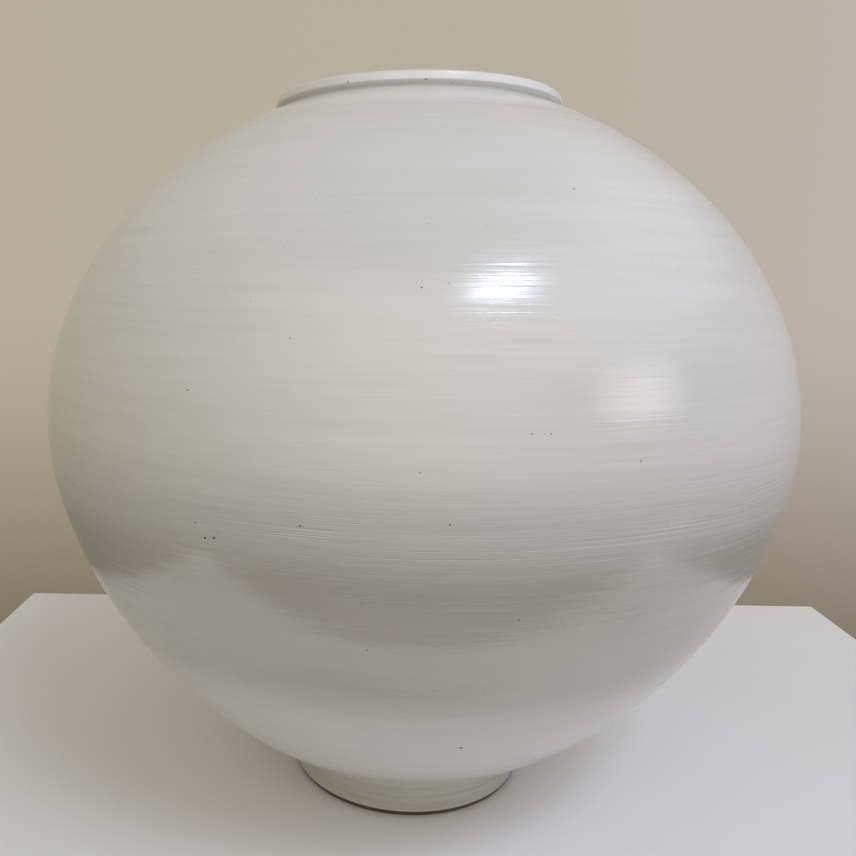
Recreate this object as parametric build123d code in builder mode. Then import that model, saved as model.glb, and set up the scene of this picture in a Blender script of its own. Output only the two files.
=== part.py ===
"""Moon jar: a large round white jar, joined at the belly from two thrown bowls.

All lengths are in mm and all angles in degrees. The foot stands on z = 0 and the jar is
round about the Z axis. The section is drawn on the XZ plane, x being the radius.

The outside is a run of tangent arcs, so each layer (glaze, white slip, clay) is the same
run with every arc drawn about the same centre, moved into the wall by a depth.
"""

import os
from math import acos, asin, cos, degrees, radians, sin

from build123d import *

# Outside of the finished jar: belly, shoulder crease and foot
BELLY_RADIUS = 220.0
BELLY_HEIGHT = 236.6
CREASE_HEIGHT = 403.7
FOOT_RADIUS = 74.3
FOOT_HEIGHT = 20.4
FOOT_FILLET = 3.0

# Arcs of the outside: those with no radius here are solved to meet crease and foot
SHOULDER_ARC = 197.0
UNDERBELLY_ARC = 155.5
COLLAR_ARC = 260.0
BELLY_END_ANGLE = 22.0
SHOULDER_END_ANGLE = 46.0
CREASE_ANGLE = 62.0
UNDERBELLY_END_ANGLE = -14.0
FLANK_END_ANGLE = -32.0
FOOT_ANGLE = -61.0

# Neck and lip
NECK_RADIUS = 82.0
NECK_ROOT = 0.6
NECK_WALL = 8.0
COLLAR_REACH = 28.0
LIP_OVERHANG = 3.0
LIP_HEIGHT = 5.7
LIP_UNDERSIDE_ANGLE = 30.0
LIP_FACE_ANGLE = 14.0
LIP_ARRIS = 1.6
LIP_TOP_ROUND = 1.8
LIP_INNER_ROUND = 3.0
THROAT_CORNER = 4.0

# Foot ring and floor
FOOT_WIDTH = 12.0
FOOT_BEVEL = 1.5
BARE_FOOT = 3.0
WELL_HEIGHT = 14.0
WELL_GLAZE_EDGE = 6.0
FLOOR_THICKNESS = 15.0
FLOOR_ROUND = 40.0

# Wall and coats
WALL = 8.0
GLAZE = 0.6
WHITE_SLIP = 0.6
COAT = WHITE_SLIP + GLAZE
INSIDE_CLAY = COAT + WALL
INSIDE_GLAZE = INSIDE_CLAY + COAT

# Slip joints between the thrown pieces
JOINT = 0.8
WAIST_KEY = 4.0
COIL_DEPTH = 3.5
COIL_HEIGHT = 14.0
CUT_MARGIN = 5.0


def out(angle, length):
    """A step of the given length, at an angle above the radius direction."""
    return Vector(length * cos(radians(angle)), length * sin(radians(angle)))


def turn(start_angle, end_angle):
    """The step along an arc of radius one, from one angle to another."""
    return out(end_angle, 1.0) - out(start_angle, 1.0)


def two_radii(first_turn, second_turn, step):
    """The radii with which two arcs, one after the other, make the given step."""
    area = first_turn.X * second_turn.Y - first_turn.Y * second_turn.X
    first = (step.X * second_turn.Y - step.Y * second_turn.X) / area
    second = (first_turn.X * step.Y - first_turn.Y * step.X) / area
    return first, second


belly = Vector(BELLY_RADIUS, BELLY_HEIGHT)

# Above the belly: belly arc and crown arc, either side of the shoulder arc, meet the crease
crease = Vector(NECK_RADIUS + COLLAR_REACH, CREASE_HEIGHT)
BELLY_ARC, CROWN_ARC = two_radii(
    turn(0.0, BELLY_END_ANGLE),
    turn(SHOULDER_END_ANGLE, CREASE_ANGLE),
    crease - belly - turn(BELLY_END_ANGLE, SHOULDER_END_ANGLE) * SHOULDER_ARC,
)

# Below the belly: flank arc and base arc, after the underbelly arc, meet the foot's fillet
fillet_centre = Vector(FOOT_RADIUS + FOOT_FILLET, FOOT_HEIGHT)
FLANK_ARC, BASE_ARC = two_radii(
    turn(UNDERBELLY_END_ANGLE, FLANK_END_ANGLE),
    turn(FLANK_END_ANGLE, FOOT_ANGLE),
    fillet_centre - out(FOOT_ANGLE, FOOT_FILLET) - belly
    - turn(0.0, UNDERBELLY_END_ANGLE) * UNDERBELLY_ARC,
)

# Arc centres: two arcs that meet share the normal where they meet
belly_centre = belly - out(0.0, BELLY_ARC)
shoulder_centre = belly_centre + out(BELLY_END_ANGLE, BELLY_ARC - SHOULDER_ARC)
crown_centre = shoulder_centre + out(SHOULDER_END_ANGLE, SHOULDER_ARC - CROWN_ARC)
collar_centre = crown_centre + out(CREASE_ANGLE, CROWN_ARC - COLLAR_ARC)
underbelly_centre = belly - out(0.0, UNDERBELLY_ARC)
flank_centre = underbelly_centre + out(UNDERBELLY_END_ANGLE, UNDERBELLY_ARC - FLANK_ARC)
base_centre = flank_centre + out(FLANK_END_ANGLE, FLANK_ARC - BASE_ARC)

# Groove under the lip: a small circle rolled into the angle of collar and neck
neck_reach = COLLAR_ARC + NECK_ROOT
NECK_ANGLE = degrees(acos((NECK_RADIUS + NECK_ROOT - collar_centre.X) / neck_reach))
root_centre = collar_centre + out(NECK_ANGLE, neck_reach)

# Lip: the underside leaves the groove, then the arris, the outer face and the flat top
UNDERSIDE_NORMAL = 90.0 + LIP_UNDERSIDE_ANGLE
underside_start = root_centre + out(UNDERSIDE_NORMAL, NECK_ROOT + LIP_ARRIS)
underside_reach = NECK_RADIUS + LIP_OVERHANG - LIP_ARRIS - underside_start.X
arris_centre = underside_start + out(
    LIP_UNDERSIDE_ANGLE, underside_reach / cos(radians(LIP_UNDERSIDE_ANGLE))
)
LIP_TOP = arris_centre.Y - LIP_ARRIS + LIP_HEIGHT
face_start = arris_centre + out(LIP_FACE_ANGLE, LIP_ARRIS - LIP_TOP_ROUND)
face_rise = LIP_TOP - LIP_TOP_ROUND - face_start.Y
top_centre = face_start + out(90.0 + LIP_FACE_ANGLE, face_rise / cos(radians(LIP_FACE_ANGLE)))

# Throat: the bore through neck and lip
THROAT_RADIUS = NECK_RADIUS - COAT - NECK_WALL
inner_lip_centre = Vector(THROAT_RADIUS + LIP_INNER_ROUND, LIP_TOP - COAT - LIP_INNER_ROUND)
CREST_RADIUS = (inner_lip_centre.X + top_centre.X) / 2
throat_reach = COLLAR_ARC - INSIDE_CLAY + THROAT_CORNER
THROAT_ANGLE = degrees(acos((THROAT_RADIUS + THROAT_CORNER - collar_centre.X) / throat_reach))
throat_centre = collar_centre + out(THROAT_ANGLE, throat_reach)

# Foot ring, and the flat seat for it half way up the fillet
FOOT_OUTER = FOOT_RADIUS - COAT
FOOT_INNER = FOOT_OUTER - FOOT_WIDTH
FOOT_SEAT = FOOT_HEIGHT + FOOT_FILLET / 2

# Floor: a round that takes the inside wall over to the flat floor
FLOOR_HEIGHT = WELL_HEIGHT + FLOOR_THICKNESS
floor_reach = BASE_ARC - INSIDE_CLAY - FLOOR_ROUND
FLOOR_ANGLE = -degrees(asin((base_centre.Y - FLOOR_HEIGHT - FLOOR_ROUND) / floor_reach))
floor_centre = base_centre + out(FLOOR_ANGLE, floor_reach)


def arc(centre, radius, start, end):
    """The arc about a centre from one angle to another."""
    return CenterArc(centre, radius, start, end - start)


def belly_arcs(depth, collar_end, base_end):
    """The long run of arcs from the base over the belly to the collar."""
    arc(base_centre, BASE_ARC - depth, base_end, FLANK_END_ANGLE)
    arc(flank_centre, FLANK_ARC - depth, FLANK_END_ANGLE, UNDERBELLY_END_ANGLE)
    arc(underbelly_centre, UNDERBELLY_ARC - depth, UNDERBELLY_END_ANGLE, 0.0)
    arc(belly_centre, BELLY_ARC - depth, 0.0, BELLY_END_ANGLE)
    arc(shoulder_centre, SHOULDER_ARC - depth, BELLY_END_ANGLE, SHOULDER_END_ANGLE)
    arc(crown_centre, CROWN_ARC - depth, SHOULDER_END_ANGLE, CREASE_ANGLE)
    arc(collar_centre, COLLAR_ARC - depth, CREASE_ANGLE, collar_end)


def outside_line(depth):
    """The outside moved inward by depth, from the bare foot edge to the crest of the lip."""
    foot_edge = Vector(FOOT_RADIUS - depth, BARE_FOOT)
    crest = Vector(CREST_RADIUS, LIP_TOP - depth)
    fillet = arc(fillet_centre, FOOT_FILLET + depth, 180.0, 180.0 + FOOT_ANGLE)
    Line(foot_edge, fillet @ 0)
    belly_arcs(depth, NECK_ANGLE, FOOT_ANGLE)
    root = arc(root_centre, NECK_ROOT + depth, 180.0 + NECK_ANGLE, UNDERSIDE_NORMAL)
    arris = arc(arris_centre, LIP_ARRIS - depth, LIP_UNDERSIDE_ANGLE - 90.0, LIP_FACE_ANGLE)
    Line(root @ 1, arris @ 0)
    top = arc(top_centre, LIP_TOP_ROUND - depth, LIP_FACE_ANGLE, 90.0)
    Line(arris @ 1, top @ 0)
    Line(top @ 1, crest)
    return foot_edge, crest


def inside_line(depth):
    """The inside at a depth from the outside, from the floor's centre to the lip's crest."""
    proud = depth - INSIDE_CLAY
    floor_middle = Vector(0.0, FLOOR_HEIGHT + proud)
    crest = Vector(CREST_RADIUS, LIP_TOP - COAT + proud)
    floor_round = arc(floor_centre, FLOOR_ROUND - proud, -90.0, FLOOR_ANGLE)
    Line(floor_middle, floor_round @ 0)
    belly_arcs(depth, THROAT_ANGLE, FLOOR_ANGLE)
    corner = arc(throat_centre, THROAT_CORNER + proud, 180.0 + THROAT_ANGLE, 180.0)
    inner_lip = arc(inner_lip_centre, LIP_INNER_ROUND + proud, 180.0, 90.0)
    Line(corner @ 1, inner_lip @ 0)
    Line(inner_lip @ 1, crest)
    return floor_middle, crest


def coat_section(line, depth, inner_depth):
    """Draw the layer between one line and the same line at another depth."""
    with BuildLine() as outline:
        first_start, first_end = line(depth)
        second_start, second_end = line(inner_depth)
        Line(first_start, second_start)
        Line(first_end, second_end)
    make_face(outline.edges())


def clay_section():
    """Draw the whole clay wall: foot, bowls, neck and lip in one face."""
    with BuildLine() as outline:
        foot_edge, _ = outside_line(COAT)
        floor_middle, _ = inside_line(INSIDE_CLAY)
        Polyline(
            foot_edge,
            (FOOT_OUTER, FOOT_BEVEL),
            (FOOT_OUTER - FOOT_BEVEL, 0.0),
            (FOOT_INNER + FOOT_BEVEL, 0.0),
            (FOOT_INNER, FOOT_BEVEL),
            (FOOT_INNER, WELL_HEIGHT),
            (0.0, WELL_HEIGHT),
            floor_middle,
        )
    make_face(outline.edges())


def outline_face(points, mode):
    """Draw a closed outline of straight lines as a face."""
    with BuildLine() as outline:
        Polyline(*points, close=True)
    make_face(outline.edges(), mode=mode)


def waist_joint(mode):
    """Draw the V-shaped layer of slip between the rims of the two bowls."""
    inner = BELLY_RADIUS - INSIDE_CLAY
    outer = BELLY_RADIUS - COAT
    valley = [
        Vector(inner - CUT_MARGIN, BELLY_HEIGHT),
        Vector(inner, BELLY_HEIGHT),
        Vector((inner + outer) / 2, BELLY_HEIGHT - WAIST_KEY),
        Vector(outer, BELLY_HEIGHT),
        Vector(outer + CUT_MARGIN, BELLY_HEIGHT),
    ]
    ridge = [point + Vector(0.0, JOINT) for point in reversed(valley)]
    outline_face(valley + ridge, mode)


def waist_coil(mode):
    """Draw the wedge of clay pressed into the seam from inside."""
    apex = Vector(BELLY_RADIUS - INSIDE_CLAY + COIL_DEPTH, BELLY_HEIGHT + JOINT / 2)
    depth = COIL_DEPTH + CUT_MARGIN
    half_height = COIL_HEIGHT / 2 * depth / COIL_DEPTH
    outline_face([apex, apex + Vector(-depth, half_height), apex + Vector(-depth, -half_height)], mode)


def collar_joint(mode):
    """Draw the layer of slip in the cone where the collar sits in the upper bowl."""
    along = out(CREASE_ANGLE + 90.0, JOINT)
    upper = crease + out(CREASE_ANGLE, CUT_MARGIN)
    lower = crease - out(CREASE_ANGLE, INSIDE_GLAZE + CUT_MARGIN)
    outline_face([upper, lower, lower + along, upper + along], mode)


def foot_joint(mode):
    """Draw the layer of slip between the foot ring and the bowl's seat and spigot."""
    outer = FOOT_RADIUS + FOOT_FILLET + CUT_MARGIN
    spigot = FOOT_INNER - JOINT
    outline_face(
        [
            (spigot, WELL_HEIGHT - JOINT),
            (FOOT_INNER, WELL_HEIGHT - JOINT),
            (FOOT_INNER, FOOT_SEAT - JOINT),
            (outer, FOOT_SEAT - JOINT),
            (outer, FOOT_SEAT),
            (spigot, FOOT_SEAT),
        ],
        mode,
    )


# The four clay pieces are what is left of the wall between the joints
with BuildSketch(Plane.XZ) as clay_pieces:
    clay_section()
    waist_joint(Mode.SUBTRACT)
    waist_coil(Mode.SUBTRACT)
    collar_joint(Mode.SUBTRACT)
    foot_joint(Mode.SUBTRACT)
foot_face, lower_face, upper_face, collar_face = clay_pieces.sketch.faces().sort_by(Axis.Z)

# Foot ring, bare at the edge it stands on
with BuildPart() as foot_ring:
    revolve(foot_face, axis=Axis.Z)
foot_ring.part.label = "foot_ring"

# Lower bowl, with the floor and the spigot that the foot ring sits round
with BuildPart() as lower_bowl:
    revolve(lower_face, axis=Axis.Z)
lower_bowl.part.label = "lower_bowl"

# Upper bowl, thrown upside down and set on the lower one
with BuildPart() as upper_bowl:
    revolve(upper_face, axis=Axis.Z)
upper_bowl.part.label = "upper_bowl"

# Mouth collar: the short neck and the turned-out lip
with BuildPart() as mouth_collar:
    revolve(collar_face, axis=Axis.Z)
mouth_collar.part.label = "mouth_collar"

# Slip that joins the two bowls
with BuildPart() as waist_slip:
    with BuildSketch(Plane.XZ):
        clay_section()
        waist_joint(Mode.INTERSECT)
        waist_coil(Mode.SUBTRACT)
    revolve(axis=Axis.Z)
waist_slip.part.label = "waist_slip"

# Coil pressed into the seam from inside
with BuildPart() as seam_coil:
    with BuildSketch(Plane.XZ):
        clay_section()
        waist_coil(Mode.INTERSECT)
    revolve(axis=Axis.Z)
seam_coil.part.label = "seam_coil"

# Slip that joins the collar to the upper bowl
with BuildPart() as collar_slip:
    with BuildSketch(Plane.XZ):
        clay_section()
        collar_joint(Mode.INTERSECT)
    revolve(axis=Axis.Z)
collar_slip.part.label = "collar_slip"

# Slip that joins the foot ring to the lower bowl
with BuildPart() as foot_slip:
    with BuildSketch(Plane.XZ):
        clay_section()
        foot_joint(Mode.INTERSECT)
    revolve(axis=Axis.Z)
foot_slip.part.label = "foot_slip"

# White slip brushed over the whole outside
with BuildPart() as white_slip_coat:
    with BuildSketch(Plane.XZ):
        coat_section(outside_line, GLAZE, COAT)
    revolve(axis=Axis.Z)
white_slip_coat.part.label = "white_slip_coat"

# Clear glaze over the white slip
with BuildPart() as outer_glaze:
    with BuildSketch(Plane.XZ):
        coat_section(outside_line, 0.0, GLAZE)
    revolve(axis=Axis.Z)
outer_glaze.part.label = "outer_glaze"

# Glaze poured round the inside, up the throat to the lip's crest
with BuildPart() as inner_glaze:
    with BuildSketch(Plane.XZ):
        coat_section(inside_line, INSIDE_CLAY, INSIDE_GLAZE)
    revolve(axis=Axis.Z)
inner_glaze.part.label = "inner_glaze"

# Glaze in the hollow under the foot
with BuildPart() as foot_well_glaze:
    with BuildSketch(Plane.XZ):
        outline_face(
            [
                (0.0, WELL_HEIGHT),
                (FOOT_INNER, WELL_HEIGHT),
                (FOOT_INNER, WELL_GLAZE_EDGE),
                (FOOT_INNER - GLAZE, WELL_GLAZE_EDGE),
                (FOOT_INNER - GLAZE, WELL_HEIGHT - GLAZE),
                (0.0, WELL_HEIGHT - GLAZE),
            ],
            Mode.ADD,
        )
    revolve(axis=Axis.Z)
foot_well_glaze.part.label = "foot_well_glaze"

os.makedirs("parts", exist_ok=True)
export_step(foot_ring.part, "parts/foot_ring.step")
export_step(lower_bowl.part, "parts/lower_bowl.step")
export_step(upper_bowl.part, "parts/upper_bowl.step")
export_step(mouth_collar.part, "parts/mouth_collar.step")
export_step(waist_slip.part, "parts/waist_slip.step")
export_step(seam_coil.part, "parts/seam_coil.step")
export_step(collar_slip.part, "parts/collar_slip.step")
export_step(foot_slip.part, "parts/foot_slip.step")
export_step(white_slip_coat.part, "parts/white_slip_coat.step")
export_step(outer_glaze.part, "parts/outer_glaze.step")
export_step(inner_glaze.part, "parts/inner_glaze.step")
export_step(foot_well_glaze.part, "parts/foot_well_glaze.step")
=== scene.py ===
"""Moon jar: the looks of a large round white jar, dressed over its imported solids.

All lengths are in metres and all angles in degrees. The jar stands on z = 0 and is round
about the Z axis. Its section is drawn as (radius, height), with the same run of tangent
arcs as the solids, and turned into fine meshes with the relief of throwing and brushing.
"""

import random
from math import acos, asin, ceil, cos, degrees, pi, radians, sin, tan

import bpy
import numpy as np
from mathutils import Matrix, Vector


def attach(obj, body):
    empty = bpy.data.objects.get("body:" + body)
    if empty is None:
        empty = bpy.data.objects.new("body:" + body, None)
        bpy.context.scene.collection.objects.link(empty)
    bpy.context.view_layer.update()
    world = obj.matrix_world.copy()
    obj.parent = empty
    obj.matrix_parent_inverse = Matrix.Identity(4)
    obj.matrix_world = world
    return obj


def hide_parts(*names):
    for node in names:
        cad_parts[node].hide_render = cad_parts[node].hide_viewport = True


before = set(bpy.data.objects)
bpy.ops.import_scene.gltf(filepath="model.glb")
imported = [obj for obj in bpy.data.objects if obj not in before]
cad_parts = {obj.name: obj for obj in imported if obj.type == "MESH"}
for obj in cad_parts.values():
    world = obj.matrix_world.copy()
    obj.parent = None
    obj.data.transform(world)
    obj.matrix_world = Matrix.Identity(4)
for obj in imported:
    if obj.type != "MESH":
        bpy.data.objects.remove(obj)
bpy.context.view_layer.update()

# Outside of the finished jar: belly, shoulder crease and foot
BELLY_RADIUS = 0.2200
BELLY_HEIGHT = 0.2366
CREASE_HEIGHT = 0.4037
FOOT_RADIUS = 0.0743
FOOT_HEIGHT = 0.0204
FOOT_FILLET = 0.0030

# Arcs of the outside
SHOULDER_ARC = 0.1970
UNDERBELLY_ARC = 0.1555
COLLAR_ARC = 0.2600
BELLY_END_ANGLE = 22.0
SHOULDER_END_ANGLE = 46.0
CREASE_ANGLE = 62.0
UNDERBELLY_END_ANGLE = -14.0
FLANK_END_ANGLE = -32.0
FOOT_ANGLE = -61.0

# Neck and lip
NECK_RADIUS = 0.0820
NECK_ROOT = 0.0006
NECK_WALL = 0.0080
COLLAR_REACH = 0.0280
LIP_OVERHANG = 0.0030
LIP_HEIGHT = 0.0054
LIP_UNDERSIDE_ANGLE = 30.0
LIP_FACE_ANGLE = 14.0
LIP_ARRIS = 0.0008
LIP_TOP_ROUND = 0.0018
LIP_INNER_ROUND = 0.0030
THROAT_CORNER = 0.0040

# Foot ring, floor, wall and coats
FOOT_WIDTH = 0.0120
FOOT_EDGE_ROUND = 0.0017
FOOT_RING_TOP = 0.0211
BARE_FOOT = 0.0030
WELL_HEIGHT = 0.0140
WELL_GLAZE_EDGE = 0.0060
WELL_ROUND = 0.0030
FLOOR_THICKNESS = 0.0150
FLOOR_ROUND = 0.0400
WALL = 0.0080
GLAZE = 0.0006
COAT = 0.0012
INSIDE_CLAY = COAT + WALL
INSIDE_GLAZE = INSIDE_CLAY + COAT

# The glaze's hidden side stays just off the coat under it
GLAZE_SHOWN = 0.0005

# Fineness of the meshes
JAR_SEGMENTS = 144
FOOT_SEGMENTS = 192
WALL_SPACING = 0.00101
EDGE_SPACING = 0.0003
HIDDEN_SPACING = 0.012
HIDDEN_EDGE_SPACING = EDGE_SPACING * 2
INSIDE_SPACING = 0.0016
FOOT_SIDE_SPACING = 0.0008
FOOT_FACE_SPACING = 0.0004
FOOT_HIDDEN_SPACING = 0.006
WELL_FACE_SPACING = 0.0015
WELL_SIDE_SPACING = 0.001
WELL_BACK_SPACING = 0.002

# A point nearer to the axis than this lies on it
ON_AXIS = 1e-9

# Camera: where it stands, how it is turned, and the lens for an image 856 pixels wide
IMAGE_SIZE = 856
FOCAL_PIXELS = 841.0
CENTRE_PIXEL = (344.0, 428.0)
SENSOR_WIDTH = 36.0
CAMERA_CLIP = 0.01
CAMERA_PLACE = Vector((0.0, -0.535, 0.318))
CAMERA_YAW = -4.62
CAMERA_PITCH = 9.88
CAMERA_ROLL = 0.32

# Floor sheet under the jar
FLOOR_WIDTH = 0.79
FLOOR_DEPTH = 0.56
FLOOR_MIDDLE = (0.023, 0.002)
FLOOR_TURN = 2.8
FLOOR_SHEET = 0.012
FLOOR_EDGE = 0.002
FLOOR_EDGE_STEPS = 3


def out(angle, length):
    """A step of the given length, at an angle above the radius direction."""
    return Vector((length * cos(radians(angle)), length * sin(radians(angle))))


def turn(start_angle, end_angle):
    """The step along an arc of radius one, from one angle to another."""
    return out(end_angle, 1.0) - out(start_angle, 1.0)


def two_radii(first_turn, second_turn, step):
    """The radii with which two arcs, one after the other, make the given step."""
    area = first_turn.cross(second_turn)
    return step.cross(second_turn) / area, first_turn.cross(step) / area


belly = Vector((BELLY_RADIUS, BELLY_HEIGHT))
crease = Vector((NECK_RADIUS + COLLAR_REACH, CREASE_HEIGHT))
BELLY_ARC, CROWN_ARC = two_radii(
    turn(0.0, BELLY_END_ANGLE),
    turn(SHOULDER_END_ANGLE, CREASE_ANGLE),
    crease - belly - turn(BELLY_END_ANGLE, SHOULDER_END_ANGLE) * SHOULDER_ARC,
)
fillet_centre = Vector((FOOT_RADIUS + FOOT_FILLET, FOOT_HEIGHT))
FLANK_ARC, BASE_ARC = two_radii(
    turn(UNDERBELLY_END_ANGLE, FLANK_END_ANGLE),
    turn(FLANK_END_ANGLE, FOOT_ANGLE),
    fillet_centre - out(FOOT_ANGLE, FOOT_FILLET) - belly
    - turn(0.0, UNDERBELLY_END_ANGLE) * UNDERBELLY_ARC,
)

# Arc centres: two arcs that meet share the normal where they meet
belly_centre = belly - out(0.0, BELLY_ARC)
shoulder_centre = belly_centre + out(BELLY_END_ANGLE, BELLY_ARC - SHOULDER_ARC)
crown_centre = shoulder_centre + out(SHOULDER_END_ANGLE, SHOULDER_ARC - CROWN_ARC)
collar_centre = crown_centre + out(CREASE_ANGLE, CROWN_ARC - COLLAR_ARC)
underbelly_centre = belly - out(0.0, UNDERBELLY_ARC)
flank_centre = underbelly_centre + out(UNDERBELLY_END_ANGLE, UNDERBELLY_ARC - FLANK_ARC)
base_centre = flank_centre + out(FLANK_END_ANGLE, FLANK_ARC - BASE_ARC)

# Groove under the lip, and the lip with its underside, arris, outer face and flat top
neck_reach = COLLAR_ARC + NECK_ROOT
NECK_ANGLE = degrees(acos((NECK_RADIUS + NECK_ROOT - collar_centre.x) / neck_reach))
root_centre = collar_centre + out(NECK_ANGLE, neck_reach)
UNDERSIDE_NORMAL = 90.0 + LIP_UNDERSIDE_ANGLE
UNDERSIDE_FACING = LIP_UNDERSIDE_ANGLE - 90.0
underside_start = root_centre + out(UNDERSIDE_NORMAL, NECK_ROOT + LIP_ARRIS)
underside_reach = NECK_RADIUS + LIP_OVERHANG - LIP_ARRIS - underside_start.x
arris_centre = underside_start + out(
    LIP_UNDERSIDE_ANGLE, underside_reach / cos(radians(LIP_UNDERSIDE_ANGLE))
)
LIP_TOP = arris_centre.y - LIP_ARRIS + LIP_HEIGHT
face_start = arris_centre + out(LIP_FACE_ANGLE, LIP_ARRIS - LIP_TOP_ROUND)
face_rise = LIP_TOP - LIP_TOP_ROUND - face_start.y
top_centre = face_start + out(90.0 + LIP_FACE_ANGLE, face_rise / cos(radians(LIP_FACE_ANGLE)))

# Throat and inside floor
THROAT_RADIUS = NECK_RADIUS - COAT - NECK_WALL
inner_lip_centre = Vector((THROAT_RADIUS + LIP_INNER_ROUND, LIP_TOP - COAT - LIP_INNER_ROUND))
crest = Vector(((inner_lip_centre.x + top_centre.x) / 2, LIP_TOP))
throat_reach = COLLAR_ARC - INSIDE_CLAY + THROAT_CORNER
THROAT_ANGLE = degrees(acos((THROAT_RADIUS + THROAT_CORNER - collar_centre.x) / throat_reach))
throat_centre = collar_centre + out(THROAT_ANGLE, throat_reach)
FLOOR_HEIGHT = WELL_HEIGHT + FLOOR_THICKNESS
floor_reach = BASE_ARC - INSIDE_CLAY - FLOOR_ROUND
FLOOR_ANGLE = -degrees(asin((base_centre.y - FLOOR_HEIGHT - FLOOR_ROUND) / floor_reach))
floor_centre = base_centre + out(FLOOR_ANGLE, floor_reach)

# Foot ring, and the glaze in the hollow under it
FOOT_OUTER = FOOT_RADIUS - COAT
FOOT_INNER = FOOT_OUTER - FOOT_WIDTH
WELL_RADIUS = FOOT_INNER - GLAZE
WELL_TOP = WELL_HEIGHT - GLAZE


class Outline:
    """A line across the section: points, and the directions that face out of the surface."""

    def __init__(self):
        self.points = []
        self.normals = []

    def arc(self, centre, radius, start, end, spacing, facing=1.0):
        """Add an arc. It faces away from its centre, or towards it where facing is -1."""
        count = max(3, ceil(abs(radians(end - start)) * radius / spacing))
        for step in range(count):
            angle = start + (end - start) * step / count
            self.points.append(centre + out(angle, radius))
            self.normals.append(out(angle, facing))

    def line(self, start, end, normal_angle, spacing):
        """Add a straight stretch."""
        count = max(1, ceil((end - start).length / spacing))
        for step in range(count):
            self.points.append(start.lerp(end, step / count))
            self.normals.append(out(normal_angle, 1.0))

    def end(self, point, normal_angle):
        """Add the last point."""
        self.points.append(point)
        self.normals.append(out(normal_angle, 1.0))

    def moved(self, depth):
        """The same line moved into the wall."""
        copy = Outline()
        copy.points = [point - normal * depth for point, normal in zip(self.points, self.normals)]
        copy.normals = list(self.normals)
        return copy

    def joined_back(self, other):
        """This line, and then the other one backwards with its faces turned round."""
        whole = Outline()
        whole.points = self.points + other.points[::-1]
        whole.normals = self.normals + [-normal for normal in other.normals[::-1]]
        return whole


def belly_arcs(line, depth, start, end, spacing, facing):
    """Add the long run of arcs from the base over the belly to the collar."""
    line.arc(base_centre, BASE_ARC - depth, start, FLANK_END_ANGLE, spacing, facing)
    line.arc(flank_centre, FLANK_ARC - depth, FLANK_END_ANGLE, UNDERBELLY_END_ANGLE, spacing, facing)
    line.arc(underbelly_centre, UNDERBELLY_ARC - depth, UNDERBELLY_END_ANGLE, 0.0, spacing, facing)
    line.arc(belly_centre, BELLY_ARC - depth, 0.0, BELLY_END_ANGLE, spacing, facing)
    line.arc(shoulder_centre, SHOULDER_ARC - depth, BELLY_END_ANGLE, SHOULDER_END_ANGLE, spacing, facing)
    line.arc(crown_centre, CROWN_ARC - depth, SHOULDER_END_ANGLE, CREASE_ANGLE, spacing, facing)
    line.arc(collar_centre, COLLAR_ARC - depth, CREASE_ANGLE, end, spacing, facing)


def outside_line(wall_spacing, edge_spacing):
    """The outside, from the bare foot edge up to the crest of the lip."""
    line = Outline()
    line.line(Vector((FOOT_RADIUS, BARE_FOOT)), Vector((FOOT_RADIUS, FOOT_HEIGHT)), 0.0, wall_spacing)
    line.arc(fillet_centre, FOOT_FILLET, 180.0, 180.0 + FOOT_ANGLE, edge_spacing, -1.0)
    belly_arcs(line, 0.0, FOOT_ANGLE, NECK_ANGLE, wall_spacing, 1.0)
    line.arc(root_centre, NECK_ROOT, 180.0 + NECK_ANGLE, UNDERSIDE_NORMAL, edge_spacing / 2, -1.0)
    line.line(
        root_centre + out(UNDERSIDE_NORMAL, NECK_ROOT),
        arris_centre + out(UNDERSIDE_FACING, LIP_ARRIS),
        UNDERSIDE_FACING,
        edge_spacing,
    )
    line.arc(arris_centre, LIP_ARRIS, UNDERSIDE_FACING, LIP_FACE_ANGLE, edge_spacing)
    line.line(
        arris_centre + out(LIP_FACE_ANGLE, LIP_ARRIS),
        top_centre + out(LIP_FACE_ANGLE, LIP_TOP_ROUND),
        LIP_FACE_ANGLE,
        edge_spacing,
    )
    line.arc(top_centre, LIP_TOP_ROUND, LIP_FACE_ANGLE, 90.0, edge_spacing)
    line.line(top_centre + out(90.0, LIP_TOP_ROUND), crest, 90.0, edge_spacing)
    line.end(crest, 90.0)
    return line


def inside_line(wall_spacing, edge_spacing):
    """The glazed inside, from the floor's centre up to the crest of the lip."""
    line = Outline()
    floor_round = FLOOR_ROUND - COAT
    corner = THROAT_CORNER + COAT
    inner_round = LIP_INNER_ROUND + COAT
    line.line(
        Vector((0.0, FLOOR_HEIGHT + COAT)), floor_centre + out(-90.0, floor_round), 90.0, wall_spacing
    )
    line.arc(floor_centre, floor_round, -90.0, FLOOR_ANGLE, wall_spacing, -1.0)
    belly_arcs(line, INSIDE_GLAZE, FLOOR_ANGLE, THROAT_ANGLE, wall_spacing, -1.0)
    line.arc(throat_centre, corner, 180.0 + THROAT_ANGLE, 180.0, edge_spacing)
    line.line(
        throat_centre + out(180.0, corner), inner_lip_centre + out(180.0, inner_round), 180.0, edge_spacing
    )
    line.arc(inner_lip_centre, inner_round, 180.0, 90.0, edge_spacing)
    line.line(inner_lip_centre + out(90.0, inner_round), crest, 90.0, edge_spacing)
    line.end(crest, 90.0)
    return line


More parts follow.
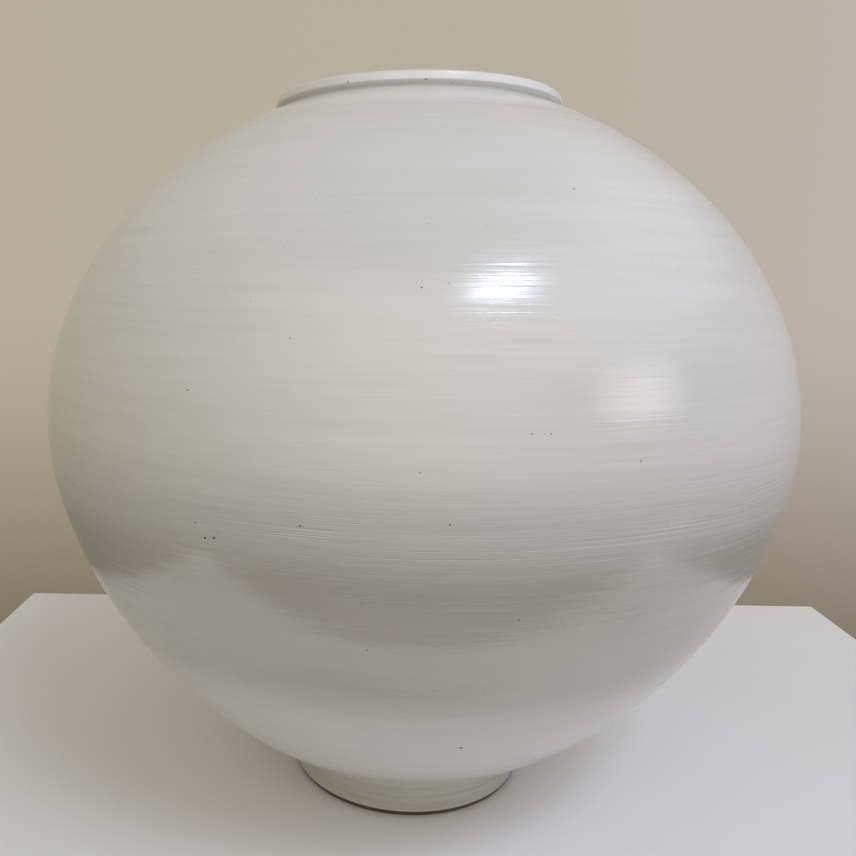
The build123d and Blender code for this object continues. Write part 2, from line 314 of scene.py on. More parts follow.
def foot_section():
    """The foot ring, closed: inner side, rounded standing face, outer side and hidden top."""
    line = Outline()
    edge = FOOT_EDGE_ROUND
    inner_top = Vector((FOOT_INNER, FOOT_RING_TOP))
    outer_top = Vector((FOOT_OUTER, FOOT_RING_TOP))
    line.line(inner_top, Vector((FOOT_INNER, edge)), 180.0, FOOT_SIDE_SPACING)
    line.arc(Vector((FOOT_INNER + edge, edge)), edge, 180.0, 270.0, EDGE_SPACING)
    line.line(Vector((FOOT_INNER + edge, 0.0)), Vector((FOOT_OUTER - edge, 0.0)), 270.0, FOOT_FACE_SPACING)
    line.arc(Vector((FOOT_OUTER - edge, edge)), edge, 270.0, 360.0, EDGE_SPACING)
    line.line(Vector((FOOT_OUTER, edge)), outer_top, 0.0, FOOT_SIDE_SPACING)
    line.line(outer_top, inner_top, 90.0, FOOT_HIDDEN_SPACING)
    return line


def well_section():
    """The glaze in the hollow under the foot, closed: hidden back first, then its shown face."""
    line = Outline()
    bead = GLAZE / 2
    corner = Vector((FOOT_INNER, WELL_HEIGHT))
    round_centre = Vector((WELL_RADIUS - WELL_ROUND, WELL_TOP - WELL_ROUND))
    side_foot = Vector((WELL_RADIUS, WELL_GLAZE_EDGE))
    middle = Vector((0.0, WELL_TOP))
    line.line(Vector((0.0, WELL_HEIGHT)), corner, 90.0, FOOT_HIDDEN_SPACING)
    line.line(corner, Vector((FOOT_INNER, WELL_GLAZE_EDGE)), 0.0, WELL_BACK_SPACING)
    line.arc(Vector((FOOT_INNER - bead, WELL_GLAZE_EDGE)), bead, 0.0, -180.0, EDGE_SPACING)
    line.line(side_foot, Vector((WELL_RADIUS, round_centre.y)), 180.0, WELL_SIDE_SPACING)
    line.arc(round_centre, WELL_ROUND, 0.0, 90.0, EDGE_SPACING, -1.0)
    line.line(Vector((round_centre.x, WELL_TOP)), middle, 270.0, WELL_FACE_SPACING)
    line.end(middle, 270.0)
    return line


def waves(seed, count, lengths, turns, size):
    """Seeded waves that run round the jar: (turns round it, waves up the wall, phase, height)."""
    chance = random.Random(seed)
    made = []
    for _ in range(count):
        length = chance.uniform(*lengths)
        made.append((chance.randint(*turns), 2 * pi / length, chance.uniform(0, 2 * pi), size / count**0.5))
    return made


def wave_relief(made, angles, along):
    """Height of the waves at each place along the section (rows) and angle round it (columns)."""
    total = np.zeros((len(along), len(angles)))
    for turns, rate, phase, size in made:
        total += size * np.sin(turns * angles[None, :] + rate * along[:, None] + phase)
    return total


def fade(value, low, high):
    """0 up to low, 1 from high on and a smooth step between. Low may be the larger one."""
    part = np.clip((value - low) / (high - low), 0.0, 1.0)
    return part * part * (3 - 2 * part)


def lengths_along(points):
    """How far each point is along its line."""
    steps = [0.0] + [(b - a).length for a, b in zip(points, points[1:])]
    return np.cumsum(steps)


def add_mesh(name, vertices, faces):
    """A new object from its points and faces."""
    mesh = bpy.data.meshes.new(name)
    mesh.from_pydata(vertices, [], faces)
    piece = bpy.data.objects.new(name, mesh)
    bpy.context.scene.collection.objects.link(piece)
    return piece


def revolve(name, section, segments, relief, shown=None):
    """Turn a closed section about the Z axis.

    relief(along, points, angles) gives how far each of the first rows, as many as are shown,
    moves outward at each angle. Where shown isn't given, that is all rows.
    """
    angles = np.arange(segments) * 2 * pi / segments
    points = np.array([tuple(point) for point in section.points])
    normals = np.array([tuple(normal) for normal in section.normals])
    rise = np.zeros((len(points), segments))
    rise[:shown] = relief(lengths_along(section.points)[:shown], points[:shown], angles)
    radius = points[:, 0:1] + normals[:, 0:1] * rise
    height = points[:, 1:2] + normals[:, 1:2] * rise
    vertices = []
    rows = []
    for row in range(len(points)):
        first = len(vertices)
        if points[row, 0] < ON_AXIS:
            vertices.append((0.0, 0.0, float(points[row, 1])))
            rows.append([first] * segments)
            continue
        x = radius[row] * np.cos(angles)
        y = radius[row] * np.sin(angles)
        vertices.extend(zip(x.tolist(), y.tolist(), height[row].tolist()))
        rows.append(list(range(first, first + segments)))
    faces = []
    for row, lower in enumerate(rows):
        upper = rows[(row + 1) % len(rows)]
        for column in range(segments):
            following = (column + 1) % segments
            corners = [lower[column], lower[following], upper[following], upper[column]]
            face = list(dict.fromkeys(corners))
            if len(face) > 2:
                faces.append(face)
    piece = add_mesh(name, vertices, faces)
    piece.data.shade_smooth()
    return piece


# Share of a dot's radius where its soft edge starts
DOT_EDGE = 0.6

# How far a brush streak wanders up and down as it runs round the jar, and how often
STREAK_WANDER = 0.0015
WANDER_RATE = 9.0


class Nodes:
    """A node tree, with short calls for the kinds of node that this scene uses."""

    def __init__(self, tree):
        self.tree = tree

    def add(self, kind):
        """A new node."""
        return self.tree.nodes.new(kind)

    def put(self, socket, value):
        """Set a socket to a value, or link it to another node's output."""
        if isinstance(value, bpy.types.NodeSocket):
            self.tree.links.new(value, socket)
        else:
            socket.default_value = value

    def math(self, operation, *values):
        """One step of arithmetic on numbers and outputs."""
        node = self.add("ShaderNodeMath")
        node.operation = operation
        for socket, value in zip(node.inputs, values):
            self.put(socket, value)
        return node.outputs[0]

    def mixed(self, *parts):
        """The sum of values, each times its share."""
        total = 0.0
        for value, share in parts:
            total = self.math("MULTIPLY_ADD", value, share, total)
        return total

    def step(self, value, low, high, to_low=0.0, to_high=1.0):
        """A smooth step between two values."""
        node = self.add("ShaderNodeMapRange")
        node.interpolation_type = "SMOOTHSTEP"
        for socket, number in zip(node.inputs, (value, low, high, to_low, to_high)):
            self.put(socket, number)
        return node.outputs[0]

    def scaled(self, vector, factors):
        """A place stretched along its axes."""
        node = self.add("ShaderNodeVectorMath")
        node.operation = "MULTIPLY"
        self.put(node.inputs[0], vector)
        self.put(node.inputs[1], factors)
        return node.outputs[0]

    def vector(self, *values):
        """Three numbers as one place."""
        node = self.add("ShaderNodeCombineXYZ")
        for socket, value in zip(node.inputs, values):
            self.put(socket, value)
        return node.outputs[0]

    def noise(self, vector, detail=2.0, roughness=0.5):
        """Noise from 0 to 1, one lump for each unit of the place."""
        node = self.add("ShaderNodeTexNoise")
        self.put(node.inputs["Vector"], vector)
        node.inputs["Scale"].default_value = 1.0
        node.inputs["Detail"].default_value = detail
        node.inputs["Roughness"].default_value = roughness
        return node.outputs[0]

    def lumps(self, vector, rate, detail=2.0, roughness=0.5):
        """Noise from 0 to 1, with so many lumps to the metre."""
        return self.noise(self.scaled(vector, (rate, rate, rate)), detail, roughness)

    def dots(self, vector, rate, size):
        """Small round dots, so many cells to the metre: 1 at a dot and 0 elsewhere."""
        node = self.add("ShaderNodeTexVoronoi")
        self.put(node.inputs["Vector"], self.scaled(vector, (rate, rate, rate)))
        node.inputs["Scale"].default_value = 1.0
        return self.step(node.outputs["Distance"], size * DOT_EDGE, size, 1.0, 0.0)

    def blend(self, factor, first, second):
        """A colour between two others."""
        node = self.add("ShaderNodeMix")
        node.data_type = "RGBA"
        self.put(node.inputs[0], factor)
        for socket, colour in ((node.inputs[6], first), (node.inputs[7], second)):
            self.put(socket, colour if isinstance(colour, bpy.types.NodeSocket) else (*colour, 1.0))
        return node.outputs[2]


class Shader(Nodes):
    """A material of the jar."""

    def __init__(self, name):
        self.material = bpy.data.materials.new(name)
        self.material.use_nodes = True
        super().__init__(self.material.node_tree)
        self.surface = self.tree.nodes["Principled BSDF"]

    def place(self):
        """The place on the jar: its vector, its height, and a place that is measured up the wall."""
        coordinates = self.add("ShaderNodeTexCoord").outputs["Object"]
        parts = self.add("ShaderNodeSeparateXYZ")
        self.put(parts.inputs[0], coordinates)
        x, y, z = parts.outputs
        radius = self.math("SQRT", self.math("ADD", self.math("MULTIPLY", x, x), self.math("MULTIPLY", y, y)))
        angle = self.math("ARCTAN2", self.math("SUBTRACT", z, BELLY_HEIGHT), radius)
        up_wall = self.math("MULTIPLY", angle, BELLY_RADIUS)
        wander = self.math("SUBTRACT", self.lumps(coordinates, WANDER_RATE, detail=1.0), 0.5)
        up_wall = self.math("MULTIPLY_ADD", wander, STREAK_WANDER, up_wall)
        return coordinates, z, self.vector(x, y, up_wall)

    def streaks(self, wall, length, width, detail=2.0, roughness=0.5):
        """Marks that run round the jar, each about so long and so wide."""
        return self.noise(self.scaled(wall, (1 / length, 1 / length, 1 / width)), detail, roughness)

    def relief(self, value, size):
        """A value from 0 to 1 as a height about zero."""
        return self.math("MULTIPLY", self.math("SUBTRACT", value, 0.5), size)

    def bump(self, height):
        """Use a height in metres as fine relief."""
        node = self.add("ShaderNodeBump")
        node.inputs["Distance"].default_value = 1.0
        self.put(node.inputs["Height"], height)
        self.put(self.surface.inputs["Normal"], node.outputs[0])

    def finish(self, colour, roughness):
        """Set the colour and the roughness, which vary over the surface."""
        self.put(self.surface.inputs["Base Color"], colour)
        self.put(self.surface.inputs["Roughness"], roughness)
        return self.material


# Noise values between which a colour, and a roughness, pass from one end to the other
COLOUR_RANGE = (0.3, 0.7)
GLOSS_RANGE = (0.2, 0.8)

# Brush lines as (length drawn, spacing, width in noise values). They change height over the
# ring length, which is longer than the jar is wide, and show where a second noise is high.
COARSE_LINES = (0.050, 0.0050, 0.030)
THIN_LINES = (0.036, 0.0030, 0.040)
THIN_LINE_SHARE = 0.7
RING_LENGTH = 1.2
DRAWN_RANGE = (0.44, 0.60)
DRAWN_SPACINGS = 1.6

# Patches of the wall where the brush was pressed, by lumps to the metre
PATCH_RATES = (7.0, 7.0, 16.0)
PATCH_RANGE = (0.42, 0.62)

# Strength as (more of it in patches, everywhere): of brushing round the belly and on the whole
# wall, and of the painted shade low on the belly
BAND_STRENGTH = (0.8, 0.5)
WALL_STRENGTH = (0.40, 0.2)
BELLY_SHADE_STRENGTH = (0.3, 0.6)

# Heights where the strong brush marks round the belly fade out, above and below
BAND_TOP = (0.245, 0.215)
BAND_FOOT = (0.10, 0.15)

# Heights between which the white slip is painted darker and greyer low on the belly, as painted shade
BELLY_SHADE_TOP = (0.222, 0.190)
BELLY_SHADE_FOOT = (0.115, 0.145)

# Heights where the collar is painted whiter as a painted sheen, where the foot turns greyer, where
# glaze has pooled, and where its lowest edge is painted near black, partly as painted contact shadow
COLLAR_SHEEN_LEVELS = (CREASE_HEIGHT - 0.001, CREASE_HEIGHT + 0.004)
FOOT_LEVELS = (FOOT_HEIGHT + 0.005, FOOT_HEIGHT - 0.002)
POOLED_LEVELS = (BARE_FOOT + 0.0024, BARE_FOOT + 0.0014)
DARK_EDGE_SHADOW_LEVELS = (BARE_FOOT + 0.0013, BARE_FOOT + 0.0007)
COLLAR_SHEEN_SHARE = 0.4

# Streaks of the white glaze as (length, width), with their shares of the tone and their relief
BROAD_STREAKS = (0.20, 0.024)
MIDDLE_STREAKS = (0.09, 0.0050)
FINE_STREAKS = (0.05, 0.0012)
FOOT_STREAKS = (0.09, 0.0032)
BROAD_TONE = 0.35
MIDDLE_TONE = 0.40
FINE_TONE = 0.25
LINE_TONE = -0.08
MIDDLE_RELIEF = 0.000090
FINE_RELIEF = 0.000060
LINE_RELIEF = -0.000042

# Colours and gloss of the white glaze
GLAZE_GREY = (0.55, 0.55, 0.53)
GLAZE_WHITE = (0.60, 0.60, 0.585)
# Painted shade of the lower belly: a darker, greyer, warmer slip colour
BELLY_SHADE_GREY = (0.42, 0.41, 0.375)
# Painted sheen on the collar: a whiter colour where it catches a bright reflection
COLLAR_SHEEN_WHITE = (0.73, 0.73, 0.715)
FOOT_DARK = (0.335, 0.335, 0.29)
FOOT_LIGHT = (0.42, 0.415, 0.37)
POOLED_GLAZE = (0.46, 0.45, 0.40)
# Near black on the glaze's lowest edge: as dark as the clay line, partly painted contact shadow
DARK_EDGE_AND_SHADOW = (0.05, 0.036, 0.024)
GLAZE_SPECK = (0.14, 0.11, 0.08)
GLAZE_SPECK_RATE = 95.0
GLAZE_SPECK_SIZE = 0.035
GLAZE_SPECK_SHARE = 0.5
GLAZE_ROUGHNESS = (0.13, 0.18)
GLAZE_IOR = 2.0


def grooves(shader, wall, length, spacing, width):
    """Thin lines round the jar, 1 along each line and 0 elsewhere, that fade in and out."""
    rings = shader.streaks(wall, RING_LENGTH, spacing, detail=1.0)
    from_middle = shader.math("ABSOLUTE", shader.math("SUBTRACT", rings, 0.5))
    drawn = shader.step(shader.streaks(wall, length, spacing * DRAWN_SPACINGS, detail=1.0), *DRAWN_RANGE)
    return shader.math("MULTIPLY", shader.step(from_middle, 0.0, width, 1.0, 0.0), drawn)


def between(shader, z, top, foot):
    """1 between two heights, and 0 where it has faded out above and below them."""
    return shader.math("MULTIPLY", shader.step(z, *top), shader.step(z, *foot))


def wall_colour(shader, z, tone, patches):
    """White slip under the glaze: painted darker and greyer low on the belly as painted shade, and whiter on
    the collar as a painted sheen.
    """
    colour = shader.blend(shader.step(tone, *COLOUR_RANGE), GLAZE_GREY, GLAZE_WHITE)
    uneven = shader.math("MULTIPLY_ADD", patches, *BELLY_SHADE_STRENGTH)
    # Painted shade: the slip darker and greyer low on the belly, patchy where brushed
    belly_shade = shader.math("MULTIPLY", between(shader, z, BELLY_SHADE_TOP, BELLY_SHADE_FOOT), uneven)
    colour = shader.blend(belly_shade, colour, BELLY_SHADE_GREY)
    # Painted sheen: the collar whiter where it catches a bright reflection
    collar_sheen = shader.math("MULTIPLY", shader.step(z, *COLLAR_SHEEN_LEVELS), COLLAR_SHEEN_SHARE)
    return shader.blend(collar_sheen, colour, COLLAR_SHEEN_WHITE)


def with_foot(shader, place, z, colour):
    """The wall's colour, going over to the foot: grey-green, with a pooled lower edge and a near-black lowest
    edge, partly painted contact shadow.
    """
    turning = shader.streaks(place, *FOOT_STREAKS)
    foot_colour = shader.blend(shader.step(turning, *COLOUR_RANGE), FOOT_DARK, FOOT_LIGHT)
    colour = shader.blend(shader.step(z, *FOOT_LEVELS), colour, foot_colour)
    colour = shader.blend(shader.step(z, *POOLED_LEVELS), colour, POOLED_GLAZE)
    # Near-black lowest edge of the glaze, partly painted contact shadow at the foot
    return shader.blend(shader.step(z, *DARK_EDGE_SHADOW_LEVELS), colour, DARK_EDGE_AND_SHADOW)


def white_glaze():
    """Gloss glaze over brushed white slip: streaks, small dark specks, grey-green on the foot."""
    shader = Shader("white_glaze")
    place, z, wall = shader.place()
    broad = shader.streaks(wall, *BROAD_STREAKS)
    middle = shader.streaks(wall, *MIDDLE_STREAKS, detail=3.0, roughness=0.6)
    fine = shader.streaks(wall, *FINE_STREAKS, roughness=0.6)
    patches = shader.step(shader.noise(shader.scaled(place, PATCH_RATES)), *PATCH_RANGE)
    band = between(shader, z, BAND_TOP, BAND_FOOT)
    grouped = shader.math("MULTIPLY", band, shader.math("MULTIPLY_ADD", patches, *BAND_STRENGTH))
    brushed = shader.math("ADD", grouped, shader.math("MULTIPLY_ADD", patches, *WALL_STRENGTH))
    lines = shader.mixed(
        (grooves(shader, wall, *COARSE_LINES), 1.0),
        (grooves(shader, wall, *THIN_LINES), THIN_LINE_SHARE),
    )
    lines = shader.math("MULTIPLY", lines, brushed)

    tone = shader.mixed((broad, BROAD_TONE), (middle, MIDDLE_TONE), (fine, FINE_TONE), (lines, LINE_TONE))
    colour = with_foot(shader, place, z, wall_colour(shader, z, tone, patches))
    specks = shader.dots(place, GLAZE_SPECK_RATE, GLAZE_SPECK_SIZE)
    colour = shader.blend(shader.math("MULTIPLY", specks, GLAZE_SPECK_SHARE), colour, GLAZE_SPECK)

    brush_marks = shader.math("MULTIPLY", shader.relief(fine, FINE_RELIEF), brushed)
    height = shader.math("ADD", shader.relief(middle, MIDDLE_RELIEF), brush_marks)
    shader.bump(shader.math("MULTIPLY_ADD", lines, LINE_RELIEF, height))
    shader.surface.inputs["IOR"].default_value = GLAZE_IOR
    return shader.finish(colour, shader.step(middle, *GLOSS_RANGE, *GLAZE_ROUGHNESS))


# Glaze inside and under the foot: streaks as (length, width), shares of the tone, relief, colours
INNER_BROAD_STREAKS = (0.16, 0.024)
INNER_FINE_STREAKS = (0.09, 0.003)
INNER_BROAD_TONE = 0.6
INNER_FINE_TONE = 0.4
INNER_BROAD_RELIEF = 0.0001
INNER_FINE_RELIEF = 0.00003
INNER_DARK = (0.42, 0.415, 0.36)
INNER_LIGHT = (0.50, 0.495, 0.44)
NEAR_LIP_COLOUR = (0.56, 0.56, 0.53)
NEAR_LIP_LEVELS = (LIP_TOP - 0.012, LIP_TOP - 0.002)
INNER_SPECK = (0.14, 0.10, 0.07)
INNER_SPECK_RATE = 80.0
INNER_SPECK_SIZE = 0.05
INNER_SPECK_SHARE = 0.7
INNER_ROUGHNESS = (0.16, 0.26)


def inner_glaze():
    """The glaze inside and under the foot: greyer and greener, with throwing rings."""
    shader = Shader("inner_glaze")
    place, z, wall = shader.place()
    broad = shader.streaks(wall, *INNER_BROAD_STREAKS)
    fine = shader.streaks(wall, *INNER_FINE_STREAKS, detail=3.0, roughness=0.6)
    tone = shader.mixed((broad, INNER_BROAD_TONE), (fine, INNER_FINE_TONE))
    colour = shader.blend(shader.step(tone, *COLOUR_RANGE), INNER_DARK, INNER_LIGHT)
    colour = shader.blend(shader.step(z, *NEAR_LIP_LEVELS), colour, NEAR_LIP_COLOUR)
    specks = shader.dots(place, INNER_SPECK_RATE, INNER_SPECK_SIZE)
    colour = shader.blend(shader.math("MULTIPLY", specks, INNER_SPECK_SHARE), colour, INNER_SPECK)
    rings = shader.relief(broad, INNER_BROAD_RELIEF)
    shader.bump(shader.math("ADD", rings, shader.relief(fine, INNER_FINE_RELIEF)))
    shader.surface.inputs["IOR"].default_value = GLAZE_IOR
    return shader.finish(colour, shader.step(fine, *GLOSS_RANGE, *INNER_ROUGHNESS))


# Matt clay and slip: lumps to the metre, turning lines as (length, width), shares, relief
MOTTLE_RATE = 90.0
GRIT_RATE = 900.0
TURNING_LINES = (0.05, 0.0018)
MOTTLE_TONE = 0.6
TURNING_TONE = 0.4
CLAY_SPECK_RATE = 260.0
CLAY_SPECK_SIZE = 0.16
GRIT_RELIEF = 0.00012
TURNING_RELIEF = 0.00008
CLAY_ROUGHNESS = (0.72, 0.92)


def matt_clay(name, dark, light, speck_colour):
    """Matt fired clay or slip: mottled, gritty and lined by turning."""
    shader = Shader(name)
    place, _, wall = shader.place()
    mottle = shader.lumps(place, MOTTLE_RATE, detail=4.0, roughness=0.6)
    grit = shader.lumps(place, GRIT_RATE)
    lines = shader.streaks(wall, *TURNING_LINES)
    tone = shader.mixed((mottle, MOTTLE_TONE), (lines, TURNING_TONE))
    colour = shader.blend(shader.step(tone, *COLOUR_RANGE), dark, light)
    colour = shader.blend(shader.dots(place, CLAY_SPECK_RATE, CLAY_SPECK_SIZE), colour, speck_colour)
    shader.bump(shader.math("ADD", shader.relief(grit, GRIT_RELIEF), shader.relief(lines, TURNING_RELIEF)))
    return shader.finish(colour, shader.step(grit, *GLOSS_RANGE, *CLAY_ROUGHNESS))


# Iron spots
IRON_RATE = 2500.0
IRON_BLACK = (0.010, 0.008, 0.006)
IRON_BROWN = (0.035, 0.024, 0.016)
IRON_RELIEF = 0.00004
IRON_ROUGHNESS = (0.3, 0.5)


def iron_spot():
    """Iron that has melted through the glaze: near black, brown where it is thin."""
    shader = Shader("iron_spot")
    place, _, _ = shader.place()
    mottle = shader.lumps(place, IRON_RATE)
    colour = shader.blend(shader.step(mottle, *COLOUR_RANGE), IRON_BLACK, IRON_BROWN)
    shader.bump(shader.relief(mottle, IRON_RELIEF))
    return shader.finish(colour, shader.step(mottle, *COLOUR_RANGE, *IRON_ROUGHNESS))


# Paint of the floor
CLOUD_RATE = 7.0
GRAIN_RATE = 700.0
PAINT_DARK = (0.735, 0.735, 0.74)
PAINT_LIGHT = (0.765, 0.765, 0.77)
GRAIN_RELIEF = 0.00004
PAINT_ROUGHNESS = (0.5, 0.62)


def floor_paint():
    """Plain pale paint, a little uneven."""
    shader = Shader("floor_paint")
    place = shader.add("ShaderNodeTexCoord").outputs["Object"]
    cloud = shader.lumps(place, CLOUD_RATE, detail=3.0)
    grain = shader.lumps(place, GRAIN_RATE)
    shader.bump(shader.relief(grain, GRAIN_RELIEF))
    roughness = shader.step(grain, *GLOSS_RANGE, *PAINT_ROUGHNESS)
    return shader.finish(shader.blend(cloud, PAINT_DARK, PAINT_LIGHT), roughness)


def dress(piece, material, slot, *nodes):
    """Give a piece its material, and let it stand for nodes of the jar."""
    piece.data.materials.append(material)
    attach(piece, "root")
    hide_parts(*nodes)


def repaint(names, material):
    """Give nodes that keep their solids a material."""
    for name in names:
        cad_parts[name].data.materials.clear()
        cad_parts[name].data.materials.append(material)


# Relief of the glazed outside: soft swells, throwing rings, brush waves and a softened crease
wall_swells = waves(seed=11, count=10, lengths=(0.10, 0.22), turns=(1, 3), size=0.00012)
wall_rings = waves(seed=12, count=16, lengths=(0.008, 0.020), turns=(0, 3), size=0.000010)
brush_waves = waves(seed=13, count=30, lengths=(0.0032, 0.0075), turns=(2, 9), size=0.000012)
FOOT_EDGE_FADE = (0.002, 0.012)
NECK_FADE = (NECK_RADIUS + 0.010, NECK_RADIUS + 0.030)
FOOT_RELIEF_SHARE = 0.5
CREASE_GROOVE = 0.00016
CREASE_WIDTH = 0.0030
CREASE_REACH = 4 * CREASE_WIDTH


def outside_relief(along, points, angles):
    """Waves on the wall, fading out at the foot edge and the lip, and a groove along the crease."""
    radius = points[:, 0]
    height = points[:, 1]
    made = wave_relief(wall_swells, angles, along) + wave_relief(wall_rings, angles, along)
    made += wave_relief(brush_waves, angles, along)
    on_wall = fade(along, *FOOT_EDGE_FADE) * fade(radius, *NECK_FADE)
    on_foot = fade(height, 0.0, BARE_FOOT * 2) * fade(height, FOOT_HEIGHT, BARE_FOOT)
    made *= np.maximum(on_wall, on_foot * FOOT_RELIEF_SHARE)[:, None]
    near_crease = height > CREASE_HEIGHT - CREASE_REACH
    distance = np.hypot(radius - crease.x, height - crease.y) / CREASE_WIDTH
    made -= (CREASE_GROOVE * np.exp(-distance**2) * near_crease)[:, None]
    return made


outside = outside_line(WALL_SPACING, EDGE_SPACING)
outside_back = outside_line(HIDDEN_SPACING, HIDDEN_EDGE_SPACING).moved(GLAZE_SHOWN)
glazed_outside = revolve(
    "glazed_outside", outside.joined_back(outside_back), JAR_SEGMENTS, outside_relief, len(outside.points)
)
dress(glazed_outside, white_glaze(), "white_glaze", "outer_glaze")

# Glazed inside, with wider throwing rings
inside_rings = waves(seed=21, count=14, lengths=(0.012, 0.030), turns=(0, 2), size=0.00030)
INSIDE_CENTRE_FADE = (0.004, 0.030)
INSIDE_THROAT_FADE = (0.405, 0.370)
INSIDE_BACK_DEPTH = COAT - (GLAZE - GLAZE_SHOWN)


def inside_relief(along, points, angles):
    """Throwing rings on the inside wall and floor, none at the centre and in the throat."""
    shown = fade(points[:, 0], *INSIDE_CENTRE_FADE) * fade(points[:, 1], *INSIDE_THROAT_FADE)
    return wave_relief(inside_rings, angles, along) * shown[:, None]


inside = inside_line(INSIDE_SPACING, EDGE_SPACING)
inside_back = inside_line(HIDDEN_SPACING, HIDDEN_EDGE_SPACING).moved(INSIDE_BACK_DEPTH)
glazed_inside = revolve(
    "glazed_inside", inside.joined_back(inside_back), JAR_SEGMENTS, inside_relief, len(inside.points)
)
poured = inner_glaze()
dress(glazed_inside, poured, "inner_glaze", "inner_glaze")

# Foot ring: bare clay with soft worn edges and turning lines under it
foot_lines = waves(seed=31, count=12, lengths=(0.0012, 0.0035), turns=(0, 1), size=0.00004)
foot_wear = waves(seed=32, count=12, lengths=(0.004, 0.012), turns=(3, 17), size=0.00010)
FOOT_SHOWN_FADE = (0.008, 0.004)
CLAY_DARK = (0.045, 0.031, 0.020)
CLAY_LIGHT = (0.095, 0.068, 0.047)
CLAY_SPECK = (0.02, 0.015, 0.011)


def foot_relief(along, points, angles):
    """Turning lines and wear, all cut into the ring."""
    made = wave_relief(foot_lines, angles, along) + wave_relief(foot_wear, angles, along)
    shown = fade(points[:, 1], *FOOT_SHOWN_FADE)
    return np.minimum(made, 0.0) * shown[:, None]


bare_foot_ring = revolve("bare_foot_ring", foot_section(), FOOT_SEGMENTS, foot_relief)
bare_clay = matt_clay("bare_clay", CLAY_DARK, CLAY_LIGHT, CLAY_SPECK)
dress(bare_foot_ring, bare_clay, "clay", "foot_ring")

# Glaze in the hollow under the foot, rounded into its corner
well_rings = waves(seed=41, count=10, lengths=(0.003, 0.009), turns=(0, 2), size=0.00008)
WELL_CENTRE_FADE = (0.003, 0.012)
WELL_EDGE_FADE = 0.006


def well_relief(along, points, angles):
    """Turning rings on the face that shows in the hollow, none at its centre and its corner."""
    face_begins = along[-1] - WELL_RADIUS
    shown = fade(points[:, 0], *WELL_CENTRE_FADE) * (points[:, 1] < WELL_HEIGHT - GLAZE / 2)
    shown *= fade(along, face_begins, face_begins + WELL_EDGE_FADE)
    return wave_relief(well_rings, angles, along) * shown[:, None]


glazed_foot_well = revolve("glazed_foot_well", well_section(), FOOT_SEGMENTS, well_relief)
dress(glazed_foot_well, poured, "inner_glaze", "foot_well_glaze")

# Nodes inside the wall keep their solids
JOINING_DARK = (0.07, 0.05, 0.034)
JOINING_LIGHT = (0.11, 0.08, 0.056)
JOINING_SPECK = (0.03, 0.022, 0.016)
SLIP_DARK = (0.62, 0.61, 0.57)
SLIP_LIGHT = (0.75, 0.74, 0.70)
SLIP_SPECK = (0.4, 0.36, 0.3)
joining_slip = matt_clay("joining_slip", JOINING_DARK, JOINING_LIGHT, JOINING_SPECK)
white_slip = matt_clay("white_slip", SLIP_DARK, SLIP_LIGHT, SLIP_SPECK)
repaint(("lower_bowl", "upper_bowl", "mouth_collar", "seam_coil"), bare_clay)
repaint(("waist_slip", "collar_slip", "foot_slip"), joining_slip)
repaint(("white_slip_coat",), white_slip)


def camera_axes():
    """The camera's right, up and forward directions."""
    yaw, pitch, roll = radians(CAMERA_YAW), radians(CAMERA_PITCH), radians(CAMERA_ROLL)
    forward = Vector((sin(yaw) * cos(pitch), cos(yaw) * cos(pitch), -sin(pitch)))
    level = Vector((cos(yaw), -sin(yaw), 0.0))
    above = level.cross(forward)
    right = cos(roll) * level + sin(roll) * above
    up = -sin(roll) * level + cos(roll) * above
    return right, up, forward


def photo_ray(x, y):
    """The direction from the camera through a pixel."""
    right, up, forward = camera_axes()
    across = (x - CENTRE_PIXEL[0]) / FOCAL_PIXELS
    down = (y - CENTRE_PIXEL[1]) / FOCAL_PIXELS
    return (forward + right * across - up * down).normalized()


# Iron specks: those that show in the image, by pixel and radius, and others all round
SPECKS_SEEN = [
    (461, 748, 0.00088),
    (205, 538, 0.00050),
    (214, 538, 0.00052),
    (187, 390, 0.00032),
    (420, 473, 0.00030),
    (300, 526, 0.00036),
    (450, 525, 0.00034),
    (532, 434, 0.00030),
    (551, 434, 0.00030),
    (641, 461, 0.00032),
    (290, 338, 0.00030),
    (519, 620, 0.00040),
    (367, 650, 0.00034),
    (348, 82, 0.00042),
    (426, 79, 0.00042),
    (452, 83, 0.00036),
]
SPECK_SEED = 51
SPECKS_ROUND = 46
SPECK_SIZES = (0.00018, 0.00040)
SPECK_HEIGHTS = (0.05, 0.40)
SPECK_RAY_START = 0.5

# Shape of a speck: how uneven its edge is, and its rings as (height, share of the radius)
SPECK_SIDES = 11
SPECK_UNEVEN = (0.75, 1.25)
SPECK_PROUD = 0.00010
SPECK_SUNK = 0.00030
SPECK_RINGS = ((-SPECK_SUNK, 0.7), (0.0, 1.0), (SPECK_PROUD * 0.7, 0.6))


def speck(vertices, faces, place, normal, radius, chance):
    """Add one speck: an uneven low dome, closed underneath and sunk into the glaze."""
    side = normal.orthogonal().normalized()
    other = normal.cross(side)
    first = len(vertices)
    uneven = [radius * chance.uniform(*SPECK_UNEVEN) for _ in range(SPECK_SIDES)]
    for level, share in SPECK_RINGS:
        for index, reach in enumerate(uneven):
            angle = 2 * pi * index / SPECK_SIDES
            step = side * cos(angle) + other * sin(angle)
            vertices.append(place + step * (reach * share) + normal * level)
    vertices.append(place - normal * SPECK_SUNK)
    vertices.append(place + normal * SPECK_PROUD)
    bottom, top = len(vertices) - 2, len(vertices) - 1
    upper_ring = first + (len(SPECK_RINGS) - 1) * SPECK_SIDES
    for index in range(SPECK_SIDES):
        following = (index + 1) % SPECK_SIDES
        for low in range(first, upper_ring, SPECK_SIDES):
            high = low + SPECK_SIDES
            faces.append((low + index, low + following, high + following, high + index))
        faces.append((bottom, first + following, first + index))
        faces.append((top, upper_ring + index, upper_ring + following))


